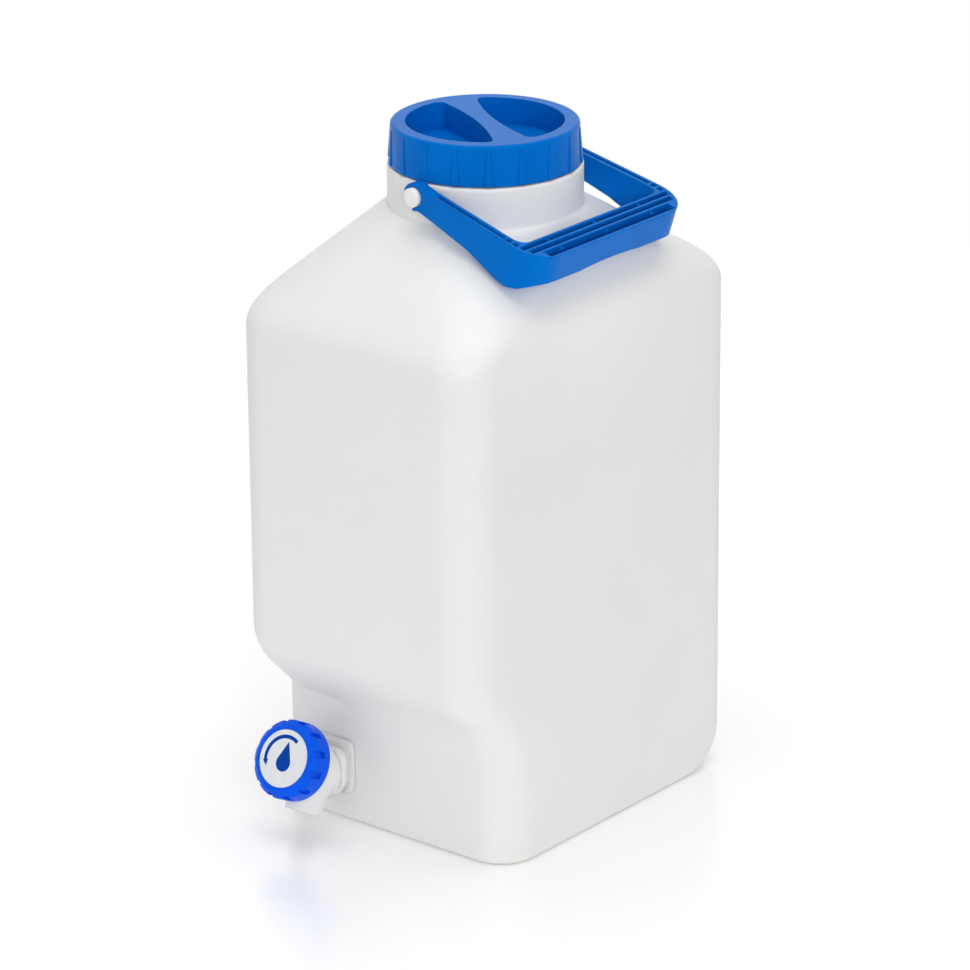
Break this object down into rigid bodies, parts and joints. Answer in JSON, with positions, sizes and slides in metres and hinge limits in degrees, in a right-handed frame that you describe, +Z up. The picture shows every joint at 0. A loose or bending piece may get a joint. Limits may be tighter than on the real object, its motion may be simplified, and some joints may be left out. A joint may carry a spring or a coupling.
{
  "type": "carboy_with_spigot",
  "caption": "Square natural-plastic carboy with a wide blue screw lid, a blue bail handle and a quarter-turn tap in a recess low on its front",
  "frame": {"origin": "Centre of the neck axis on the ground: the middle of the flat base", "axes": "+Z up, -Y the tap side, +X to the right of someone facing the tap"},
  "size_m": [0.1637, 0.2428, 0.3699],
  "materials": {
    "body_natural": "natural blow-moulded polyethylene, milky and faintly translucent",
    "blue_moulding": "blue injection-moulded plastic, satin gloss",
    "seal_white": "soft white foam seal",
    "rubber_black": "black rubber, matt",
    "tap_natural": "natural injection-moulded polyethylene, smooth",
    "knob_blue": "bright blue injection-moulded plastic",
    "screw_steel": "stainless steel",
    "disc_white": "white printed insert, smooth"
  },
  "bodies": {
    "vessel": {"canister": "body_natural", "tap_socket": "body_natural", "tap_washer": "seal_white", "tap_body": "tap_natural"},
    "lid_carrier": {"lid_seal": "seal_white"},
    "lid_body": {"lid": "blue_moulding"},
    "handle_body": {"handle": "blue_moulding"},
    "valve": {"valve_plug": "tap_natural", "plug_orings": "rubber_black", "tap_knob": "knob_blue", "knob_screw": "screw_steel", "knob_disc": "disc_white"}
  },
  "joints": [
    {"name": "handle_hinge", "type": "hinge", "parent": "vessel", "child": "handle_body", "pos_m": [0, 0, 0.3426], "axis": [0, -1, 0], "range_deg": [0, 216]},
    {"name": "lid_lift", "type": "slide", "parent": "vessel", "child": "lid_carrier", "axis": [0, 0, 1], "range_m": [0, 0.0095]},
    {"name": "lid_turn", "type": "hinge", "parent": "lid_carrier", "child": "lid_body", "pos_m": [0, 0, 0.36], "axis": [0, 0, 1], "range_deg": [0, 540]},
    {"name": "tap_turn", "type": "hinge", "parent": "vessel", "child": "valve", "pos_m": [-0.0387, -0.0939, 0.0315], "axis": [0, -0.887, 0.4617], "range_deg": [0, 90]}
  ],
  "couplings": [
    {"joint": "lid_lift", "follows": "lid_turn", "m_per_rad": 0.000955}
  ]
}
